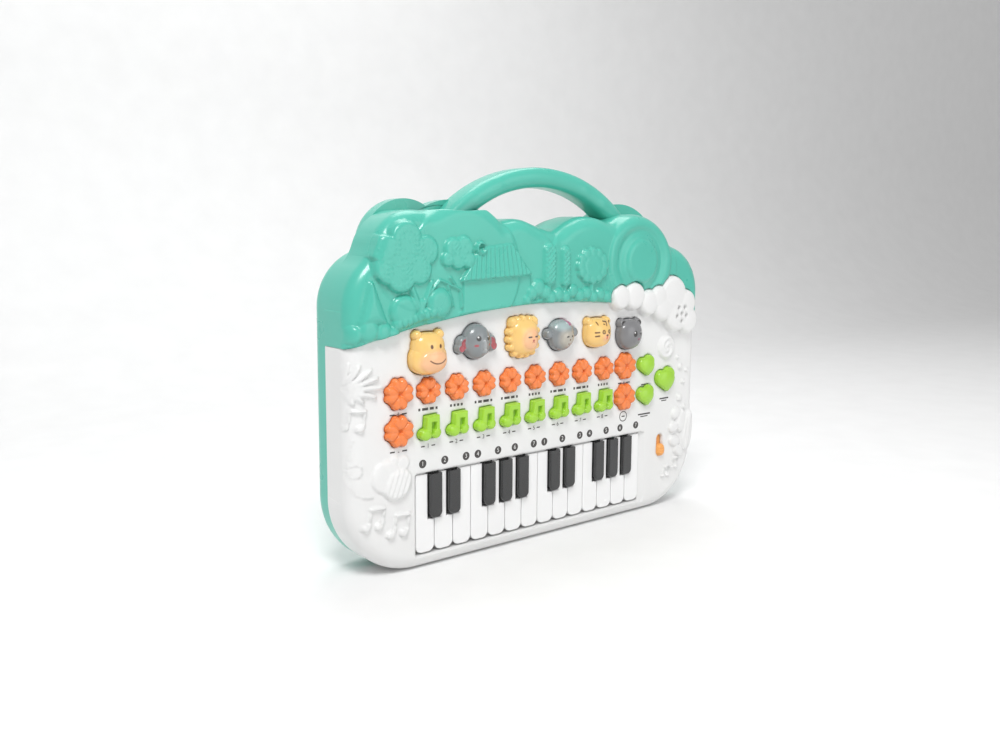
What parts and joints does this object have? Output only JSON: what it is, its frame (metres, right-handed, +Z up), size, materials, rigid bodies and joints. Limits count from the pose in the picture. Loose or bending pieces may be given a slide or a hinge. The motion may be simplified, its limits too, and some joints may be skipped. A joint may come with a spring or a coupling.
{
  "type": "toy electronic keyboard",
  "caption": "Child's upright toy keyboard with moulded scenery, carrying handle, piano keys and domed sound buttons.",
  "frame": {"origin": "middle of the flat base that the toy stands on", "axes": "+Z up to the handle, the keys and buttons face -Y, +X to the player's right"},
  "size_m": [0.284, 0.049, 0.2335],
  "materials": {
    "white_case": "satin moulded ABS",
    "green_case": "satin moulded ABS",
    "white_keys": "gloss",
    "black_keys": "gloss",
    "yellow_animal": "gloss",
    "grey_animal": "gloss",
    "orange_buttons": "gloss",
    "green_buttons": "gloss",
    "orange_knob": "satin",
    "frame_plastic": "matte",
    "circuit_board": "solder mask",
    "contact_rubber": "matte",
    "speaker": "painted",
    "cells": "wrapped",
    "contacts": "plated",
    "screws": "zinc plated"
  },
  "bodies": {
    "case": {"front_shell": "white_case", "top_shell": "green_case", "back_shell": "green_case", "key_frame": "frame_plastic", "circuit_boards": "circuit_board", "key_contact_strip": "contact_rubber", "button_pad": "contact_rubber", "speaker": "speaker", "battery_cells": "cells", "battery_contacts": "contacts", "case_screws": "screws"},
    "white_key_01": {"white_key_01": "white_keys"},
    "white_key_02": {"white_key_02": "white_keys"},
    "white_key_03": {"white_key_03": "white_keys"},
    "white_key_04": {"white_key_04": "white_keys"},
    "white_key_05": {"white_key_05": "white_keys"},
    "white_key_06": {"white_key_06": "white_keys"},
    "white_key_07": {"white_key_07": "white_keys"},
    "white_key_08": {"white_key_08": "white_keys"},
    "white_key_09": {"white_key_09": "white_keys"},
    "white_key_10": {"white_key_10": "white_keys"},
    "white_key_11": {"white_key_11": "white_keys"},
    "white_key_12": {"white_key_12": "white_keys"},
    "white_key_13": {"white_key_13": "white_keys"},
    "white_key_14": {"white_key_14": "white_keys"},
    "black_key_01": {"black_key_01": "black_keys"},
    "black_key_02": {"black_key_02": "black_keys"},
    "black_key_03": {"black_key_03": "black_keys"},
    "black_key_04": {"black_key_04": "black_keys"},
    "black_key_05": {"black_key_05": "black_keys"},
    "black_key_06": {"black_key_06": "black_keys"},
    "black_key_07": {"black_key_07": "black_keys"},
    "black_key_08": {"black_key_08": "black_keys"},
    "black_key_09": {"black_key_09": "black_keys"},
    "black_key_10": {"black_key_10": "black_keys"},
    "hippo_button": {"hippo_button": "yellow_animal"},
    "elephant_button": {"elephant_button": "grey_animal"},
    "bear_button": {"bear_button": "yellow_animal"},
    "sheep_button": {"sheep_button": "grey_animal"},
    "tiger_button": {"tiger_button": "yellow_animal"},
    "panda_button": {"panda_button": "grey_animal"},
    "rhythm_button_bank": {"rhythm_button_bank": "orange_buttons"},
    "tempo_up_button": {"tempo_up_button": "orange_buttons"},
    "tempo_down_button": {"tempo_down_button": "orange_buttons"},
    "volume_up_button": {"volume_up_button": "orange_buttons"},
    "volume_down_button": {"volume_down_button": "orange_buttons"},
    "note_button_1": {"note_button_1": "green_buttons"},
    "note_button_2": {"note_button_2": "green_buttons"},
    "note_button_3": {"note_button_3": "green_buttons"},
    "note_button_4": {"note_button_4": "green_buttons"},
    "note_button_5": {"note_button_5": "green_buttons"},
    "note_button_6": {"note_button_6": "green_buttons"},
    "note_button_7": {"note_button_7": "green_buttons"},
    "note_button_8": {"note_button_8": "green_buttons"},
    "heart_button_upper": {"heart_button_upper": "green_buttons"},
    "heart_button_lower": {"heart_button_lower": "green_buttons"},
    "heart_button_stop": {"heart_button_stop": "green_buttons"},
    "power_knob": {"power_knob": "orange_knob"},
    "battery_door": {"battery_door": "green_case", "battery_door_screw": "screws"}
  },
  "joints": [
    {"name": "white_key_01_press", "type": "hinge", "parent": "case", "child": "white_key_01", "pos_m": [-0.007, -0.0133, 0.0675], "axis": [1, 0, 0], "range_deg": [0, 4], "stiffness_Nm_per_rad": 0.3, "springref_deg": -3.44},
    {"name": "white_key_02_press", "type": "hinge", "parent": "case", "child": "white_key_02", "pos_m": [-0.007, -0.0133, 0.0675], "axis": [1, 0, 0], "range_deg": [0, 4], "stiffness_Nm_per_rad": 0.3, "springref_deg": -3.44},
    {"name": "white_key_03_press", "type": "hinge", "parent": "case", "child": "white_key_03", "pos_m": [-0.007, -0.0133, 0.0675], "axis": [1, 0, 0], "range_deg": [0, 4], "stiffness_Nm_per_rad": 0.3, "springref_deg": -3.44},
    {"name": "white_key_04_press", "type": "hinge", "parent": "case", "child": "white_key_04", "pos_m": [-0.007, -0.0133, 0.0675], "axis": [1, 0, 0], "range_deg": [0, 4], "stiffness_Nm_per_rad": 0.3, "springref_deg": -3.44},
    {"name": "white_key_05_press", "type": "hinge", "parent": "case", "child": "white_key_05", "pos_m": [-0.007, -0.0133, 0.0675], "axis": [1, 0, 0], "range_deg": [0, 4], "stiffness_Nm_per_rad": 0.3, "springref_deg": -3.44},
    {"name": "white_key_06_press", "type": "hinge", "parent": "case", "child": "white_key_06", "pos_m": [-0.007, -0.0133, 0.0675], "axis": [1, 0, 0], "range_deg": [0, 4], "stiffness_Nm_per_rad": 0.3, "springref_deg": -3.44},
    {"name": "white_key_07_press", "type": "hinge", "parent": "case", "child": "white_key_07", "pos_m": [-0.007, -0.0133, 0.0675], "axis": [1, 0, 0], "range_deg": [0, 4], "stiffness_Nm_per_rad": 0.3, "springref_deg": -3.44},
    {"name": "white_key_08_press", "type": "hinge", "parent": "case", "child": "white_key_08", "pos_m": [-0.007, -0.0133, 0.0675], "axis": [1, 0, 0], "range_deg": [0, 4], "stiffness_Nm_per_rad": 0.3, "springref_deg": -3.44},
    {"name": "white_key_09_press", "type": "hinge", "parent": "case", "child": "white_key_09", "pos_m": [-0.007, -0.0133, 0.0675], "axis": [1, 0, 0], "range_deg": [0, 4], "stiffness_Nm_per_rad": 0.3, "springref_deg": -3.44},
    {"name": "white_key_10_press", "type": "hinge", "parent": "case", "child": "white_key_10", "pos_m": [-0.007, -0.0133, 0.0675], "axis": [1, 0, 0], "range_deg": [0, 4], "stiffness_Nm_per_rad": 0.3, "springref_deg": -3.44},
    {"name": "white_key_11_press", "type": "hinge", "parent": "case", "child": "white_key_11", "pos_m": [-0.007, -0.0133, 0.0675], "axis": [1, 0, 0], "range_deg": [0, 4], "stiffness_Nm_per_rad": 0.3, "springref_deg": -3.44},
    {"name": "white_key_12_press", "type": "hinge", "parent": "case", "child": "white_key_12", "pos_m": [-0.007, -0.0133, 0.0675], "axis": [1, 0, 0], "range_deg": [0, 4], "stiffness_Nm_per_rad": 0.3, "springref_deg": -3.44},
    {"name": "white_key_13_press", "type": "hinge", "parent": "case", "child": "white_key_13", "pos_m": [-0.007, -0.0133, 0.0675], "axis": [1, 0, 0], "range_deg": [0, 4], "stiffness_Nm_per_rad": 0.3, "springref_deg": -3.44},
    {"name": "white_key_14_press", "type": "hinge", "parent": "case", "child": "white_key_14", "pos_m": [-0.007, -0.0133, 0.0675], "axis": [1, 0, 0], "range_deg": [0, 4], "stiffness_Nm_per_rad": 0.3, "springref_deg": -3.44},
    {"name": "black_key_01_press", "type": "hinge", "parent": "case", "child": "black_key_01", "pos_m": [-0.007, -0.0133, 0.0675], "axis": [1, 0, 0], "range_deg": [0, 4], "stiffness_Nm_per_rad": 0.3, "springref_deg": -3.44},
    {"name": "black_key_02_press", "type": "hinge", "parent": "case", "child": "black_key_02", "pos_m": [-0.007, -0.0133, 0.0675], "axis": [1, 0, 0], "range_deg": [0, 4], "stiffness_Nm_per_rad": 0.3, "springref_deg": -3.44},
    {"name": "black_key_03_press", "type": "hinge", "parent": "case", "child": "black_key_03", "pos_m": [-0.007, -0.0133, 0.0675], "axis": [1, 0, 0], "range_deg": [0, 4], "stiffness_Nm_per_rad": 0.3, "springref_deg": -3.44},
    {"name": "black_key_04_press", "type": "hinge", "parent": "case", "child": "black_key_04", "pos_m": [-0.007, -0.0133, 0.0675], "axis": [1, 0, 0], "range_deg": [0, 4], "stiffness_Nm_per_rad": 0.3, "springref_deg": -3.44},
    {"name": "black_key_05_press", "type": "hinge", "parent": "case", "child": "black_key_05", "pos_m": [-0.007, -0.0133, 0.0675], "axis": [1, 0, 0], "range_deg": [0, 4], "stiffness_Nm_per_rad": 0.3, "springref_deg": -3.44},
    {"name": "black_key_06_press", "type": "hinge", "parent": "case", "child": "black_key_06", "pos_m": [-0.007, -0.0133, 0.0675], "axis": [1, 0, 0], "range_deg": [0, 4], "stiffness_Nm_per_rad": 0.3, "springref_deg": -3.44},
    {"name": "black_key_07_press", "type": "hinge", "parent": "case", "child": "black_key_07", "pos_m": [-0.007, -0.0133, 0.0675], "axis": [1, 0, 0], "range_deg": [0, 4], "stiffness_Nm_per_rad": 0.3, "springref_deg": -3.44},
    {"name": "black_key_08_press", "type": "hinge", "parent": "case", "child": "black_key_08", "pos_m": [-0.007, -0.0133, 0.0675], "axis": [1, 0, 0], "range_deg": [0, 4], "stiffness_Nm_per_rad": 0.3, "springref_deg": -3.44},
    {"name": "black_key_09_press", "type": "hinge", "parent": "case", "child": "black_key_09", "pos_m": [-0.007, -0.0133, 0.0675], "axis": [1, 0, 0], "range_deg": [0, 4], "stiffness_Nm_per_rad": 0.3, "springref_deg": -3.44},
    {"name": "black_key_10_press", "type": "hinge", "parent": "case", "child": "black_key_10", "pos_m": [-0.007, -0.0133, 0.0675], "axis": [1, 0, 0], "range_deg": [0, 4], "stiffness_Nm_per_rad": 0.3, "springref_deg": -3.44},
    {"name": "hippo_button_press", "type": "slide", "parent": "case", "child": "hippo_button", "axis": [0, 1, 0], "range_m": [0, 0.002], "stiffness_N_per_m": 600, "springref_m": -0.001},
    {"name": "elephant_button_press", "type": "slide", "parent": "case", "child": "elephant_button", "axis": [0, 1, 0], "range_m": [0, 0.002], "stiffness_N_per_m": 600, "springref_m": -0.001},
    {"name": "bear_button_press", "type": "slide", "parent": "case", "child": "bear_button", "axis": [0, 1, 0], "range_m": [0, 0.002], "stiffness_N_per_m": 600, "springref_m": -0.001},
    {"name": "sheep_button_press", "type": "slide", "parent": "case", "child": "sheep_button", "axis": [0, 1, 0], "range_m": [0, 0.002], "stiffness_N_per_m": 600, "springref_m": -0.001},
    {"name": "tiger_button_press", "type": "slide", "parent": "case", "child": "tiger_button", "axis": [0, 1, 0], "range_m": [0, 0.002], "stiffness_N_per_m": 600, "springref_m": -0.001},
    {"name": "panda_button_press", "type": "slide", "parent": "case", "child": "panda_button", "axis": [0, 1, 0], "range_m": [0, 0.002], "stiffness_N_per_m": 600, "springref_m": -0.001},
    {"name": "rhythm_button_bank_press", "type": "slide", "parent": "case", "child": "rhythm_button_bank", "axis": [0, 1, 0], "range_m": [0, 0.002], "stiffness_N_per_m": 600, "springref_m": -0.001},
    {"name": "tempo_up_button_press", "type": "slide", "parent": "case", "child": "tempo_up_button", "axis": [0, 1, 0], "range_m": [0, 0.002], "stiffness_N_per_m": 600, "springref_m": -0.001},
    {"name": "tempo_down_button_press", "type": "slide", "parent": "case", "child": "tempo_down_button", "axis": [0, 1, 0], "range_m": [0, 0.002], "stiffness_N_per_m": 600, "springref_m": -0.001},
    {"name": "volume_up_button_press", "type": "slide", "parent": "case", "child": "volume_up_button", "axis": [0, 1, 0], "range_m": [0, 0.002], "stiffness_N_per_m": 600, "springref_m": -0.001},
    {"name": "volume_down_button_press", "type": "slide", "parent": "case", "child": "volume_down_button", "axis": [0, 1, 0], "range_m": [0, 0.002], "stiffness_N_per_m": 600, "springref_m": -0.001},
    {"name": "note_button_1_press", "type": "slide", "parent": "case", "child": "note_button_1", "axis": [0, 1, 0], "range_m": [0, 0.002], "stiffness_N_per_m": 600, "springref_m": -0.001},
    {"name": "note_button_2_press", "type": "slide", "parent": "case", "child": "note_button_2", "axis": [0, 1, 0], "range_m": [0, 0.002], "stiffness_N_per_m": 600, "springref_m": -0.001},
    {"name": "note_button_3_press", "type": "slide", "parent": "case", "child": "note_button_3", "axis": [0, 1, 0], "range_m": [0, 0.002], "stiffness_N_per_m": 600, "springref_m": -0.001},
    {"name": "note_button_4_press", "type": "slide", "parent": "case", "child": "note_button_4", "axis": [0, 1, 0], "range_m": [0, 0.002], "stiffness_N_per_m": 600, "springref_m": -0.001},
    {"name": "note_button_5_press", "type": "slide", "parent": "case", "child": "note_button_5", "axis": [0, 1, 0], "range_m": [0, 0.002], "stiffness_N_per_m": 600, "springref_m": -0.001},
    {"name": "note_button_6_press", "type": "slide", "parent": "case", "child": "note_button_6", "axis": [0, 1, 0], "range_m": [0, 0.002], "stiffness_N_per_m": 600, "springref_m": -0.001},
    {"name": "note_button_7_press", "type": "slide", "parent": "case", "child": "note_button_7", "axis": [0, 1, 0], "range_m": [0, 0.002], "stiffness_N_per_m": 600, "springref_m": -0.001},
    {"name": "note_button_8_press", "type": "slide", "parent": "case", "child": "note_button_8", "axis": [0, 1, 0], "range_m": [0, 0.002], "stiffness_N_per_m": 600, "springref_m": -0.001},
    {"name": "heart_button_upper_press", "type": "slide", "parent": "case", "child": "heart_button_upper", "axis": [0, 1, 0], "range_m": [0, 0.002], "stiffness_N_per_m": 600, "springref_m": -0.001},
    {"name": "heart_button_lower_press", "type": "slide", "parent": "case", "child": "heart_button_lower", "axis": [0, 1, 0], "range_m": [0, 0.002], "stiffness_N_per_m": 600, "springref_m": -0.001},
    {"name": "heart_button_stop_press", "type": "slide", "parent": "case", "child": "heart_button_stop", "axis": [0, 1, 0], "range_m": [0, 0.002], "stiffness_N_per_m": 600, "springref_m": -0.001},
    {"name": "power_slide", "type": "slide", "parent": "case", "child": "power_knob", "axis": [0, 0, 1], "range_m": [0, 0.007]},
    {"name": "battery_door_open", "type": "hinge", "parent": "case", "child": "battery_door", "pos_m": [0, 0.02, 0.06955], "axis": [-1, 0, 0], "range_deg": [0, 75]}
  ]
}
